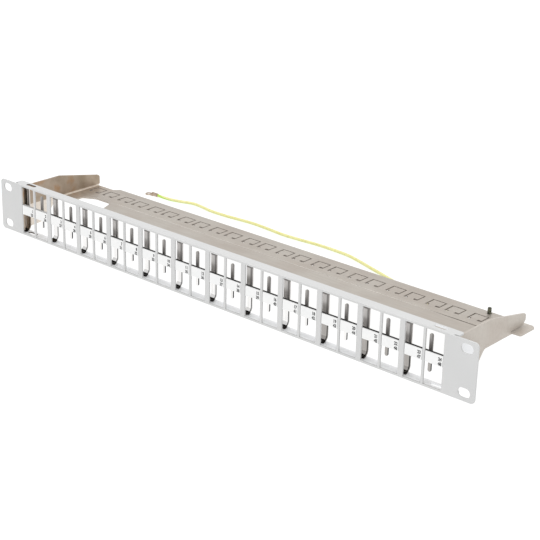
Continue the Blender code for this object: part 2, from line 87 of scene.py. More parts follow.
# The lead's green stripe, in turns around the lead: it runs along the underside and winds to the front
# close to the loose lug. The higher the winding, the closer to the lug it starts.
STRIPE_SIDE = 0.72
STRIPE_TURN = 0.38
STRIPE_WINDING = 40
STRIPE_HALF = 0.12
STRIPE_BLUR = 0.01

# Printed port numbers.
DIGIT_SIZE = 3.3 * MM
DIGIT_WEIGHT = 0.18 * MM
DIGIT_NARROW = 0.85
INK_DEPTH = 0.04 * MM
INK_SINK = 0.01 * MM
UPPER_LINE = 0.2 * MM
LOWER_LINE = -3.2 * MM
NUMBER_MARGIN = 0.9 * MM

# Places whose faces look different, as limits of X, of the depth behind the front face, and of Z.
EVERYWHERE = (-300.0 * MM, 300.0 * MM)
# The walls of the T-slots are bare cut edges, darkened further as painted shade inside the slots.
T_SLOTS = ((-215.0 * MM, 215.0 * MM), (73.5 * MM, 86.0 * MM), EVERYWHERE)
# The flanks of the crease, which get painted shade at their right end.
CREASE = ((-215.0 * MM, 215.0 * MM), (65.9 * MM, 67.1 * MM), EVERYWHERE)
# The walls of the left tab slot are painted dark, as painted shade inside the slot.
TAB_SLOT = ((-214.0 * MM, -202.0 * MM), (3.0 * MM, 7.0 * MM), EVERYWHERE)
# The right tab slot and the top of the lower flange are painted lighter, as painted light.
RIGHT_TAB_SLOT = ((202.0 * MM, 214.0 * MM), (3.0 * MM, 7.0 * MM), EVERYWHERE)
LOWER_FLANGE = (EVERYWHERE, (1.1 * MM, 9.1 * MM), (1.1 * MM, 1.3 * MM))

# The top of the bend at the foot of the left arm, below which the arm gets a painted highlight, and the X
# beyond which a point is on an arm.
BEND_TOP = 22.9 * MM
LEFT_ARM = -218.0 * MM
RIGHT_ARM = 219.0 * MM

# The catch frame has a strap and a tongue for each pair of ports, with right edges darkened as painted shade.
# Each edge is narrow below the rail, and a wider shade above it.
PAIR_PITCH = 36.15 * MM
STRAP_RIGHT = -178.1 * MM
STRAP_EDGE = 0.9 * MM
STRAP_SHADE = 2.0 * MM
TONGUE_RIGHT = 17.3 * MM
TONGUE_EDGE = 0.3 * MM
TONGUE_SHADE = 1.1 * MM
EDGE_BLUR = 0.004
RAIL_SHARE = 0.5

# Painted light and shade: the leftmost strap, the rail's lit left end, the Y in front of which hooks are
# black, and the X where the straps below the rail turn grey; the tongues turn grey further right.
FIRST_STRAP_SIDE = -217.0 * MM
FIRST_STRAP_END = -200.0 * MM
RAIL_LIT_END = -183.0 * MM
HOOK_TIP = -42.5 * MM
SHADE_START = 96.0 * MM
TONGUE_LAG = 40.0 * MM

# The M3 earth stud.
STUD_RADIUS = 1.5 * MM
THREAD_PITCH = 0.5 * MM
THREAD_DEPTH = 0.22 * MM
THREAD_STEPS = 6
STUD_SEGMENTS = 32
COLLAR_LOW = 19.1 * MM
COLLAR_HIGH = 20.0 * MM
COLLAR_SOFT = 0.2 * MM
NUT_CHAMFER = math.radians(30)
NUT_REACH = 1.02
THREAD_RUNOUT = 0.6
TURNED_SEGMENTS = 48

# The ring lugs, drawn with the eye at the origin and the barrel along X, as in the CAD model.
# The crimps and the rounded mouths are shares of the barrel's length.
LUG_SHEET = 0.8 * MM
LUG_SOFT = 0.12 * MM
LUG_EYE = 3.1 * MM
LUG_HOLE = 1.8 * MM
LUG_NECK = 1.5 * MM
EYE_STEPS = 48
HOLE_STEPS = 40
BARREL_START = 5.0 * MM
BARREL_END = 12.6 * MM
BARREL_RADIUS = 1.7 * MM
BARREL_SEGMENTS = 32
BARREL_STEPS = 44
CRIMPS = (0.36, 0.68)
CRIMP_HALF = 0.09
MOUTH_SHARE = 0.06
FREE_LUG_PLACE = (-216.0 * MM, 100.3 * MM, 0.02 * MM)
FREE_LUG_TURN = -0.03

# Meshing: vertices closer than this are one, faces that differ by less than this many radians are flat.
MERGE_DISTANCE = 0.001 * MM
FLAT_ANGLE = 0.002
EDGE_SEGMENTS = 2
SHARP_EDGE = 30
ROUTE_STEPS = 20

BLACK = (0.0, 0.0, 0.0)
WHITE = (1.0, 1.0, 1.0)

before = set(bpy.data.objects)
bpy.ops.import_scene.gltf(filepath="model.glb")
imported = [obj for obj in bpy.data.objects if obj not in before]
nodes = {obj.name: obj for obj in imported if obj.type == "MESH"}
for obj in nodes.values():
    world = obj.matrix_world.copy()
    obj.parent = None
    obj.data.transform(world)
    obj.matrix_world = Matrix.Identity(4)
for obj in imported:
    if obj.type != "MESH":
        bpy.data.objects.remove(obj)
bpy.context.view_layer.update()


def make_camera():
    level = Vector((math.cos(CAMERA_AZIMUTH), math.sin(CAMERA_AZIMUTH), 0))
    inward = Vector((-level.y, level.x, 0))
    forward = inward * math.cos(CAMERA_ELEVATION) - Vector((0, 0, math.sin(CAMERA_ELEVATION)))
    above = level.cross(forward)
    right = level * math.cos(CAMERA_ROLL) + above * math.sin(CAMERA_ROLL)
    up = above * math.cos(CAMERA_ROLL) - level * math.sin(CAMERA_ROLL)
    turn = Matrix((right, up, -forward)).transposed().to_4x4()
    data = bpy.data.cameras.new("camera")
    data.lens = CAMERA_LENS
    data.sensor_width = CAMERA_SENSOR
    data.clip_start = 0.05
    data.clip_end = 50.0
    camera = bpy.data.objects.new("camera", data)
    bpy.context.scene.collection.objects.link(camera)
    camera.matrix_world = Matrix.Translation(CAMERA_PLACE) @ turn
    bpy.context.scene.camera = camera


# Materials.


class Paint:
    """A node material under construction: each call adds one node and returns its output."""

    def __init__(self, name, colour, roughness, metallic=0.0):
        self.material = bpy.data.materials.new(name)
        self.material.use_nodes = True
        self.tree = self.material.node_tree
        self.shader = self.tree.nodes["Principled BSDF"]
        self.shader.inputs["Base Color"].default_value = (*colour, 1)
        self.shader.inputs["Roughness"].default_value = roughness
        self.shader.inputs["Metallic"].default_value = metallic
        self.coords = self.tree.nodes.new("ShaderNodeTexCoord").outputs["Object"]

    def link(self, source, node, socket):
        self.tree.links.new(source, node.inputs[socket])

    def noise(self, scale, detail=3.0, stretch=(1, 1, 1)):
        """Noise whose grains are 1 / scale metres, stretched along the axes."""
        place = self.tree.nodes.new("ShaderNodeMapping")
        place.inputs["Scale"].default_value = [scale / s for s in stretch]
        self.link(self.coords, place, "Vector")
        made = self.tree.nodes.new("ShaderNodeTexNoise")
        made.inputs["Scale"].default_value = 1.0
        made.inputs["Detail"].default_value = detail
        self.link(place.outputs["Vector"], made, "Vector")
        return made.outputs["Fac"]

    def axis(self, name):
        """The position along one axis of the model, in metres."""
        made = self.tree.nodes.new("ShaderNodeSeparateXYZ")
        self.link(self.coords, made, "Vector")
        return made.outputs[name]

    def math(self, operation, *values):
        """One sum, whose values are numbers or outputs."""
        made = self.tree.nodes.new("ShaderNodeMath")
        made.operation = operation
        for socket, value in zip(made.inputs, values):
            if isinstance(value, (int, float)):
                socket.default_value = value
            else:
                self.tree.links.new(value, socket)
        return made.outputs["Value"]

    def ramp(self, factor, stops):
        """A colour ramp over stops of (position, colour)."""
        made = self.tree.nodes.new("ShaderNodeValToRGB")
        elements = made.color_ramp.elements
        while len(elements) < len(stops):
            elements.new(0.5)
        for element, (at, colour) in zip(elements, stops):
            element.position = at
            element.color = (*colour, 1)
        self.link(factor, made, "Fac")
        return made.outputs["Color"]

    def span(self, factor, low, high):
        """Maps a noise, which mostly lies between 0.3 and 0.7, to the range from low to high."""
        made = self.tree.nodes.new("ShaderNodeMapRange")
        made.inputs["From Min"].default_value = 0.3
        made.inputs["From Max"].default_value = 0.7
        made.inputs["To Min"].default_value = low
        made.inputs["To Max"].default_value = high
        self.link(factor, made, "Value")
        return made.outputs["Result"]

    def blend(self, a, b):
        """A mix node for two colours, which are tuples or outputs."""
        made = self.tree.nodes.new("ShaderNodeMix")
        made.data_type = "RGBA"
        for name, value in (("A", a), ("B", b)):
            socket = [s for s in made.inputs if s.name == name and s.type == "RGBA"][0]
            if isinstance(value, tuple):
                socket.default_value = (*value, 1)
            else:
                self.tree.links.new(value, socket)
        return made

    def mix(self, factor, a, b):
        """Goes from colour a to colour b as the factor goes from 0 to 1."""
        made = self.blend(a, b)
        self.link(factor, made, "Factor")
        return [s for s in made.outputs if s.type == "RGBA"][0]

    def product(self, a, b):
        made = self.blend(a, b)
        made.blend_type = "MULTIPLY"
        made.inputs["Factor"].default_value = 1.0
        return [s for s in made.outputs if s.type == "RGBA"][0]

    def colour(self, source):
        self.link(source, self.shader, "Base Color")

    def rough(self, source):
        self.link(source, self.shader, "Roughness")

    def bump(self, source, depth):
        """Relief of that depth in metres."""
        made = self.tree.nodes.new("ShaderNodeBump")
        made.inputs["Strength"].default_value = 1.0
        made.inputs["Distance"].default_value = depth
        self.link(source, made, "Height")
        self.link(made.outputs["Normal"], self.shader, "Normal")


def powder_coat(name, dark, light):
    """Light grey paint with the fine orange peel of powder coating."""
    made = Paint(name, dark, 0.42)
    cloud = made.noise(25, 2)
    made.colour(made.ramp(cloud, [(0.3, dark), (0.7, light)]))
    made.rough(made.span(made.noise(400, 3), 0.36, 0.50))
    made.bump(made.noise(1400, 2), 0.00003)
    return made.material


def label_plastic():
    """White moulded plastic, slightly mottled."""
    made = Paint("label_plastic", (0.78, 0.78, 0.78), 0.38)
    cloud = made.noise(120, 2)
    made.colour(made.ramp(cloud, [(0.3, (0.775, 0.78, 0.78)), (0.7, (0.81, 0.81, 0.805))]))
    made.rough(made.span(made.noise(900, 2), 0.30, 0.45))
    made.bump(made.noise(2500, 2), 0.00001)
    return made.material


def edge_stops(strap_edge, tongue_edge):
    """Ramp stops, over one pair of ports, that are white on the right edges of the tongue and the strap."""
    bands = [
        (TONGUE_RIGHT - tongue_edge, TONGUE_RIGHT + 0.5 * MM),
        (PAIR_PITCH - strap_edge, PAIR_PITCH),
    ]
    stops = []
    for start, end in bands:
        start, end = start / PAIR_PITCH, end / PAIR_PITCH
        stops.append((start - EDGE_BLUR, BLACK))
        stops.append((start + EDGE_BLUR, WHITE))
        stops.append((end - EDGE_BLUR, WHITE))
        stops.append((end, BLACK))
    return stops


def tone_above_rail(made, height, is_tongue):
    """Painted shade: the straps are palest just above the rail and have a dark cap, a painted shadow under the
    flange; the tongues darken downwards.
    """
    strap = made.ramp(
        height,
        [
            (0.50, (0.90, 0.86, 0.82)),
            (0.56, (0.72, 0.68, 0.65)),
            (0.63, (0.54, 0.51, 0.49)),
            (0.68, (0.58, 0.55, 0.53)),
            (0.73, (0.74, 0.71, 0.69)),
            (0.845, (0.74, 0.71, 0.69)),
            (0.86, (0.20, 0.18, 0.17)),
        ],
    )
    tongue = made.ramp(
        height,
        [
            (0.52, (0.22, 0.20, 0.19)),
            (0.66, (0.33, 0.31, 0.30)),
            (0.82, (0.52, 0.50, 0.48)),
        ],
    )
    return made.mix(is_tongue, strap, tongue)


def tone_below_rail(made, place, is_tongue):
    """Bright as a painted reflection of the white floor, apart from the straps and tongues at the right, which
    are grey.
    """
    shade_start = made.math("MULTIPLY_ADD", is_tongue, TONGUE_LAG, SHADE_START)
    shaded = made.math("GREATER_THAN", place, shade_start)
    return made.mix(shaded, (0.93, 0.92, 0.91), (0.42, 0.40, 0.38))


def tone_of_first_strap(made, place, above):
    """The leftmost strap, in painted light and shade: brown below the rail; above it bright, with a black left
    side of painted shadow.
    """
    side = made.math("LESS_THAN", place, FIRST_STRAP_SIDE)
    upper = made.mix(side, (0.92, 0.88, 0.84), (0.02, 0.02, 0.02))
    return made.mix(above, (0.32, 0.26, 0.21), upper)


def tone_of_edges(made, tone, across, above):
    """Darkens the right edges of the straps and tongues with painted shade."""
    narrow_shade = made.ramp(across, edge_stops(STRAP_EDGE, TONGUE_EDGE))
    shadowed = made.ramp(across, edge_stops(STRAP_SHADE, TONGUE_SHADE))
    edge = made.mix(above, narrow_shade, shadowed)
    dark = made.mix(above, (0.03, 0.03, 0.03), (0.28, 0.265, 0.255))
    return made.mix(edge, tone, dark)


def strap_steel():
    """Spring steel, in painted light and shade: bright below the rail as a painted reflection, darker above it
    as painted shade, and painted shade along the right edges.
    """
    made = Paint("strap_steel", (0.50, 0.48, 0.46), 0.34, 1.0)
    place = made.axis("X")
    height = made.math("DIVIDE", made.axis("Z"), PANEL_HEIGHT)
    above = made.math("GREATER_THAN", height, RAIL_SHARE)
    along = made.math("SUBTRACT", place, STRAP_RIGHT)
    across = made.math("FRACT", made.math("DIVIDE", along, PAIR_PITCH))
    is_tongue = made.ramp(across, [(0.36, BLACK), (0.38, WHITE), (0.54, WHITE), (0.56, BLACK)])
    tone = made.mix(above, tone_below_rail(made, place, is_tongue), tone_above_rail(made, height, is_tongue))
    is_first = made.math("LESS_THAN", place, FIRST_STRAP_END)
    tone = made.mix(is_first, tone, tone_of_first_strap(made, place, above))
    tone = tone_of_edges(made, tone, across, above)
    # The hook tips at the front are painted black, as painted shade.
    tone = made.mix(made.math("LESS_THAN", made.axis("Y"), HOOK_TIP), tone, (0.02, 0.018, 0.016))
    lines = made.noise(900, 4, (1, 1, 30))
    shade = made.ramp(lines, [(0.3, (0.82, 0.82, 0.82)), (0.7, (1.0, 1.0, 1.0))])
    made.colour(made.product(tone, shade))
    made.link(made.math("MULTIPLY_ADD", above, -0.85, 1.0), made.shader, "Metallic")
    polish = made.math("MULTIPLY_ADD", above, 0.65, 0.35)
    made.rough(made.math("MULTIPLY", made.span(made.noise(150, 3), 0.30, 0.42), polish))
    made.bump(lines, 0.000006)
    return made.material


def black_steel():
    """Phosphated steel: nearly black, with a fine crystal grain; its left end is painted light grey, as
    painted light.
    """
    made = Paint("black_steel", (0.03, 0.03, 0.03), 0.5, 0.4)
    grain = made.noise(1500, 3)
    black = made.ramp(grain, [(0.3, (0.018, 0.017, 0.016)), (0.7, (0.045, 0.042, 0.04))])
    lit_end = made.ramp(grain, [(0.3, (0.55, 0.54, 0.53)), (0.7, (0.70, 0.69, 0.68))])
    # At its left end the rail is painted light grey, as painted light.
    made.colour(made.mix(made.math("LESS_THAN", made.axis("X"), RAIL_LIT_END), black, lit_end))
    made.rough(made.span(grain, 0.42, 0.60))
    made.bump(grain, 0.000006)
    return made.material


def zinc_sheet():
    """Zinc plated sheet: warm grey with rolling marks and faint stains; tarnish spots and painted shade at the
    left, with a painted highlight on the bend at the foot of the left arm; duller right.
    """
    made = Paint("zinc_sheet", (0.52, 0.48, 0.43), 0.38, 0.72)
    streaks = made.noise(500, 4, (25, 1, 1))
    stains = made.noise(35, 4)
    base = made.ramp(stains, [(0.35, (0.505, 0.455, 0.405)), (0.65, (0.545, 0.505, 0.455))])
    dark = made.ramp(stains, [(0.35, (0.465, 0.415, 0.365)), (0.65, (0.505, 0.465, 0.415))])
    plain = made.mix(made.span(streaks, 0.0, 1.0), dark, base)
    # At the left end, rust coloured tarnish spots and painted shade darken the bar and the left arm.
    leftward = made.math("MULTIPLY_ADD", made.axis("X"), 10.0, 2.6)
    left = made.ramp(leftward, [(0.42, WHITE), (0.65, BLACK)])
    arm = made.math("LESS_THAN", made.axis("X"), LEFT_ARM)
    rust_and_shade = [(0.33, (0.72, 0.63, 0.53)), (0.55, (0.88, 0.79, 0.70)), (0.68, (0.80, 0.56, 0.38))]
    tarnish_and_shade = made.ramp(made.noise(70, 4), rust_and_shade)
    # A painted highlight: the left arm is lightened below the top of the bend at its foot.
    bend = made.math("MULTIPLY", arm, made.math("LESS_THAN", made.axis("Z"), BEND_TOP))
    tarnish_and_shade = made.mix(bend, tarnish_and_shade, (1.5, 1.5, 1.5))
    dulled = made.math("GREATER_THAN", made.axis("X"), RIGHT_ARM)
    made.link(made.math("MULTIPLY_ADD", dulled, -0.42, 0.72), made.shader, "Metallic")
    made.colour(made.product(plain, made.mix(left, WHITE, tarnish_and_shade)))
    made.rough(made.span(made.noise(220, 3), 0.32, 0.46))
    made.bump(streaks, 0.000008)
    return made.material


def thread_steel():
    """Dark passivated steel, worn brighter in places."""
    made = Paint("thread_steel", (0.12, 0.12, 0.09), 0.36, 0.9)
    worn = made.noise(700, 4)
    made.colour(made.ramp(worn, [(0.35, (0.05, 0.05, 0.035)), (0.65, (0.22, 0.22, 0.16))]))
    made.rough(made.span(made.noise(500, 3), 0.26, 0.46))
    made.bump(worn, 0.00001)
    return made.material


def dull_tin():
    """Tin plated copper: dull, with brown spots where the plating is thin."""
    made = Paint("dull_tin", (0.48, 0.38, 0.29), 0.34, 0.9)
    spots = made.noise(600, 4)
    made.colour(made.ramp(spots, [(0.35, (0.36, 0.25, 0.17)), (0.65, (0.58, 0.49, 0.39))]))
    made.rough(made.span(made.noise(400, 3), 0.26, 0.44))
    made.bump(made.noise(1500, 3), 0.00001)
    return made.material


def ink():
    """Printed numbers: dark grey, unevenly inked."""
    made = Paint("ink", (0.05, 0.05, 0.05), 0.55)
    patches = made.noise(1500, 3)
    made.colour(made.ramp(patches, [(0.3, (0.03, 0.03, 0.03)), (0.7, (0.10, 0.10, 0.10))]))
    made.rough(made.span(patches, 0.45, 0.65))
    return made.material


def insulation():
    """Soft cable insulation: yellow, with a green stripe."""
    made = Paint("insulation", (0.86, 0.80, 0.24), 0.42)
    coords = made.tree.nodes.new("ShaderNodeTexCoord")
    split = made.tree.nodes.new("ShaderNodeSeparateXYZ")
    made.link(coords.outputs["UV"], split, "Vector")
    winding = made.math("POWER", split.outputs["X"], STRIPE_WINDING)
    wound = made.math("MULTIPLY_ADD", winding, -STRIPE_TURN, split.outputs["Y"])
    around = made.math("FRACT", made.math("ADD", wound, 0.5 - STRIPE_SIDE))
    low, high = 0.5 - STRIPE_HALF, 0.5 + STRIPE_HALF
    blur = STRIPE_BLUR
    stops = [(low - blur, BLACK), (low + blur, WHITE), (high - blur, WHITE), (high + blur, BLACK)]
    cloud = made.noise(200, 3)
    yellow = made.ramp(cloud, [(0.3, (0.72, 0.69, 0.27)), (0.7, (0.78, 0.76, 0.37))])
    made.colour(made.mix(made.ramp(around, stops), yellow, (0.44, 0.70, 0.10)))
    made.rough(made.span(made.noise(900, 2), 0.36, 0.50))
    made.bump(made.noise(1600, 2), 0.00001)
    return made.material


def cut_edge(name, dark, light):
    """The punched edges of a sheet, where the knife left bare steel, in dark colours that paint the shade
    inside the slots.
    """
    made = Paint(name, dark, 0.45, 0.3)
    lines = made.noise(1800, 3, (1, 1, 12))
    made.colour(made.ramp(lines, [(0.3, dark), (0.7, light)]))
    made.rough(made.span(lines, 0.36, 0.55))
    made.bump(lines, 0.000006)
    return made.material


def crease_steel():
    """The flanks of the crease in the tie bar: nearly as bright as the bar, with painted shade at its right
    end.
    """
    made = Paint("crease_steel", (0.50, 0.47, 0.44), 0.5, 0.1)
    along = made.math("MULTIPLY_ADD", made.axis("X"), 2.5, 0.5)
    streaks = made.noise(900, 3, (20, 1, 1))
    unshaded_flank = made.ramp(streaks, [(0.3, (0.60, 0.57, 0.53)), (0.7, (0.70, 0.67, 0.63))])
    end_shade = made.ramp(streaks, [(0.3, (0.13, 0.11, 0.09)), (0.7, (0.22, 0.19, 0.17))])
    made.colour(made.mix(made.ramp(along, [(0.88, BLACK), (0.95, WHITE)]), unshaded_flank, end_shade))
    made.rough(made.span(streaks, 0.42, 0.58))
    made.bump(streaks, 0.000006)
    return made.material


def floor_surface():
    """A white light table, which mostly glows from within."""
    made = Paint("floor_surface", (0.12, 0.12, 0.12), 0.6)
    cloud = made.noise(8, 2)
    made.colour(made.ramp(cloud, [(0.3, (0.118, 0.118, 0.118)), (0.7, (0.122, 0.122, 0.122))]))
    made.shader.inputs["Emission Color"].default_value = (1, 1, 1, 1)
    made.shader.inputs["Emission Strength"].default_value = FLOOR_GLOW
    return made.material


# Pieces.


def to_mesh(work, name):
    """The bmesh as a mesh of that name; the bmesh is freed."""
    mesh = bpy.data.meshes.new(name)
    work.to_mesh(mesh)
    work.free()
    return mesh


def evaluated_mesh(piece):
    """The mesh of an object with its modifiers applied, or of a curve or text object."""
    bpy.context.view_layer.update()
    graph = bpy.context.evaluated_depsgraph_get()
    return bpy.data.meshes.new_from_object(piece.evaluated_get(graph))


def curve_mesh(curve):
    """The mesh of a curve or a text."""
    holder = bpy.data.objects.new("holder", curve)
    bpy.context.scene.collection.objects.link(holder)
    mesh = evaluated_mesh(holder)
    bpy.data.objects.remove(holder)
    return mesh


def skin(work, rings):
    """Faces between each ring of vertices and the next, and over the two ends."""
    for under, over in zip(rings, rings[1:]):
        for i in range(len(under)):
            j = (i + 1) % len(under)
            work.faces.new((under[i], under[j], over[j], over[i]))
    work.faces.new(reversed(rings[0]))
    work.faces.new(rings[-1])


def add(name, data, body, material):
    """A new piece that rides on a body."""
    piece = bpy.data.objects.new(name, data)
    bpy.context.scene.collection.objects.link(piece)
    data.materials.clear()
    data.materials.append(material)
    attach(piece, body)
    return piece


def clean_copy(node):
    """A CAD node's mesh with the flat faces joined up again, so that its edges can be rounded."""
    mesh = nodes[node].data.copy()
    work = bmesh.new()
    work.from_mesh(mesh)
    bmesh.ops.remove_doubles(work, verts=work.verts, dist=MERGE_DISTANCE)
    bmesh.ops.dissolve_limit(work, angle_limit=FLAT_ANGLE, verts=work.verts, edges=work.edges)
    work.to_mesh(mesh)
    work.free()
    return mesh


def smooth_shading(piece, angle=35):
    """Smooth shading, apart from edges sharper than that many degrees."""
    piece.data.shade_smooth()
    piece.data.set_sharp_from_angle(angle=math.radians(angle))


def round_edges(piece, width):
    bevel = piece.modifiers.new("round_edges", "BEVEL")
    bevel.width = width
    bevel.segments = EDGE_SEGMENTS
    bevel.limit_method = "ANGLE"
    bevel.angle_limit = math.radians(SHARP_EDGE)
    bevel.harden_normals = True
    smooth_shading(piece, SHARP_EDGE)


def finish_node(node, body, material, width):
    """The same shape as the CAD node, with its edges rounded."""
    piece = add("fine_" + node, clean_copy(node), body, material)
    round_edges(piece, width)
    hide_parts(node)
    return piece


def mark_faces(piece, material, place):
    """Gives the faces inside a box a material of their own."""
    piece.data.materials.append(material)
    index = len(piece.data.materials) - 1
    front = Vector((0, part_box("front_panel")[0].y, 0))
    for face in piece.data.polygons:
        corners = [piece.data.vertices[i].co - front for i in face.vertices]
        inside = [low < corner[axis] < high for corner in corners for axis, (low, high) in enumerate(place)]
        if all(inside):
            face.material_index = index


def smooth_route(route, spacing):
    """Evenly spaced points along a smooth curve through the route."""
    points = [Vector(p) for p in route]
    ends = [2 * points[0] - points[1], *points, 2 * points[-1] - points[-2]]
    fine = []
    for a, b, c, d in zip(ends, ends[1:], ends[2:], ends[3:]):
        for i in range(ROUTE_STEPS):
            t = i / ROUTE_STEPS
            slope = (c - a) * t
            bend = (2 * a - 5 * b + 4 * c - d) * t**2
            twist = (3 * b - a - 3 * c + d) * t**3
            fine.append((2 * b + slope + bend + twist) / 2)
    fine.append(points[-1])
    lengths = [0.0]
    for a, b in zip(fine, fine[1:]):
        lengths.append(lengths[-1] + (b - a).length)
    steps = round(lengths[-1] / spacing)
    result = []
    index = 0
    for i in range(steps + 1):
        wanted = lengths[-1] * i / steps
        while index < len(fine) - 2 and lengths[index + 1] < wanted:
            index += 1
        share = (wanted - lengths[index]) / (lengths[index + 1] - lengths[index])
        result.append(fine[index].lerp(fine[index + 1], share))
    return result


def make_wire(material, lugs):
    curve = bpy.data.curves.new("lead", "CURVE")
    curve.dimensions = "3D"
    curve.bevel_depth = WIRE_RADIUS
    curve.bevel_resolution = 5
    curve.use_fill_caps = True
    route = smooth_route(LEAD_ROUTE, WIRE_SPACING)
    spline = curve.splines.new("POLY")
    spline.use_smooth = True
    spline.points.add(len(route) - 1)
    for point, place in zip(spline.points, route):
        point.co = (*place, 1)
    piece = add("lead", curve, "panel", material)
    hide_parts("earth_wire")


def lathe(name, profile, place):
    """A closed turned solid from its profile of (radius, height), with its axis moved by the matrix."""
    work = bmesh.new()
    rings = []
    for radius, height in profile:
        angles = [2 * math.pi * i / TURNED_SEGMENTS for i in range(TURNED_SEGMENTS)]
        rings.append([work.verts.new((radius * math.cos(a), radius * math.sin(a), height)) for a in angles])
    skin(work, rings)
    work.transform(place)
    bmesh.ops.recalc_face_normals(work, faces=work.faces)
    return to_mesh(work, name)


def thread_radius(height, angle, low, high):
    """The stud's radius on its helix, tapering into a chamfer at both ends."""
    phase = (height / THREAD_PITCH - angle / (2 * math.pi)) % 1.0
    depth = THREAD_DEPTH * (1 - abs(2 * phase - 1))
    taper = min(1.0, (height - low) / THREAD_PITCH, (high - height) / THREAD_PITCH)
    return STUD_RADIUS - depth - THREAD_RUNOUT * THREAD_DEPTH * (1 - taper)


def stud_mesh(low, high):
    """The stud between two corners of its box, with a real helical thread."""
    middle = (low + high) / 2
    steps = round((high.z - low.z) / (THREAD_PITCH / THREAD_STEPS))
    work = bmesh.new()
    rings = []
    for k in range(steps + 1):
        height = low.z + (high.z - low.z) * k / steps
        ring = []
        for i in range(STUD_SEGMENTS):
            angle = 2 * math.pi * i / STUD_SEGMENTS
            radius = thread_radius(height, angle, low.z, high.z)
            ring.append(work.verts.new((radius * math.cos(angle), radius * math.sin(angle), height)))
        rings.append(ring)
    skin(work, rings)
    bmesh.ops.translate(work, vec=(middle.x, middle.y, 0), verts=work.verts)
    return to_mesh(work, "stud")


def make_stud(material):
    """The earth stud, and the collar that rivets it into the bar."""
    low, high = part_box("earth_stud")
    stud = add("stud", stud_mesh(low, high), "panel", material)
    smooth_shading(stud, 50)
    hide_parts("earth_stud")
    radius = (high.x - low.x) / 2
    place = Matrix.Translation(((low.x + high.x) / 2, (low.y + high.y) / 2, 0))
    profile = [
        (radius - COLLAR_SOFT, COLLAR_LOW),
        (radius, COLLAR_LOW + COLLAR_SOFT),
        (radius, COLLAR_HIGH - COLLAR_SOFT),
        (radius - COLLAR_SOFT, COLLAR_HIGH),
    ]
    collar = add("stud_collar", lathe("collar", profile, place), "panel", material)
    smooth_shading(collar)


def make_nut(material):
    """The hexagon nut, its corners cut back by a cone at both ends."""
    low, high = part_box("earth_nut")
    middle = (low + high) / 2
    corner = (high.x - low.x) / 2
    flat = corner * math.cos(math.pi / 6)
    reach = corner * NUT_REACH
    drop = (reach - flat) * math.tan(NUT_CHAMFER)
    place = Matrix.Translation((middle.x, middle.y, 0))
    profile = [(flat, low.z), (reach, low.z + drop), (reach, high.z - drop), (flat, high.z)]
    cone = bpy.data.objects.new("cone", lathe("cone", profile, place))
    bpy.context.scene.collection.objects.link(cone)
    nut = add("nut", clean_copy("earth_nut"), "nut", material)
    cut = nut.modifiers.new("chamfer", "BOOLEAN")
    cut.operation = "INTERSECT"
    cut.object = cone
    nut.data = evaluated_mesh(nut)
    nut.modifiers.clear()
    bpy.data.objects.remove(cone)
    nut.data.materials.clear()
    nut.data.materials.append(material)
    smooth_shading(nut, 25)
    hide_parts("earth_nut")


def barrel_mesh():
    """The crimp barrel of a lug along X: two crimps across it, and rounded ends."""
    work = bmesh.new()
    rings = []
    for k in range(BARREL_STEPS + 1):
        share = k / BARREL_STEPS
        along = BARREL_START + (BARREL_END - BARREL_START) * share
        crimp = max(math.exp(-(((share - place) / CRIMP_HALF) ** 2)) for place in CRIMPS)
        mouth = min(1.0, share / MOUTH_SHARE, (1 - share) / MOUTH_SHARE)
        ring = []
        for i in range(BARREL_SEGMENTS):
            angle = 2 * math.pi * i / BARREL_SEGMENTS
            pinch = 1 - crimp * (0.10 + 0.10 * math.cos(2 * angle))
            radius = BARREL_RADIUS * pinch * (0.88 + 0.12 * math.sqrt(mouth))
            ring.append(work.verts.new((along, radius * math.cos(angle), radius * math.sin(angle))))
        rings.append(ring)
    skin(work, rings)
    bmesh.ops.translate(work, vec=(0, 0, BARREL_RADIUS), verts=work.verts)
    bmesh.ops.recalc_face_normals(work, faces=work.faces)
    return to_mesh(work, "barrel")


def make_lugs(material):
    """The two ring lugs: the stamped eye with rounded edges, and the crimped barrel over it."""
    low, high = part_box("earth_stud")
    bolted = Matrix.Translation(((low.x + high.x) / 2, (low.y + high.y) / 2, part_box("earth_lug_panel")[1].z))
    places = {
        "earth_lug_panel": bolted @ Matrix.Rotation(math.pi, 4, "Y"),
        "earth_lug_free": Matrix.Translation(FREE_LUG_PLACE) @ Matrix.Rotation(FREE_LUG_TURN, 4, "Z"),
    }
    lugs = []
    for node, turn in places.items():
        work = bmesh.new()
        for mesh in (eye_mesh(), barrel_mesh()):
            work.from_mesh(mesh)
            bpy.data.meshes.remove(mesh)
        work.transform(turn)
        lug = add(node.replace("earth_", ""), to_mesh(work, node), "panel", material)
        smooth_shading(lug)
        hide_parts(node)
        lugs.append(lug)
    return lugs


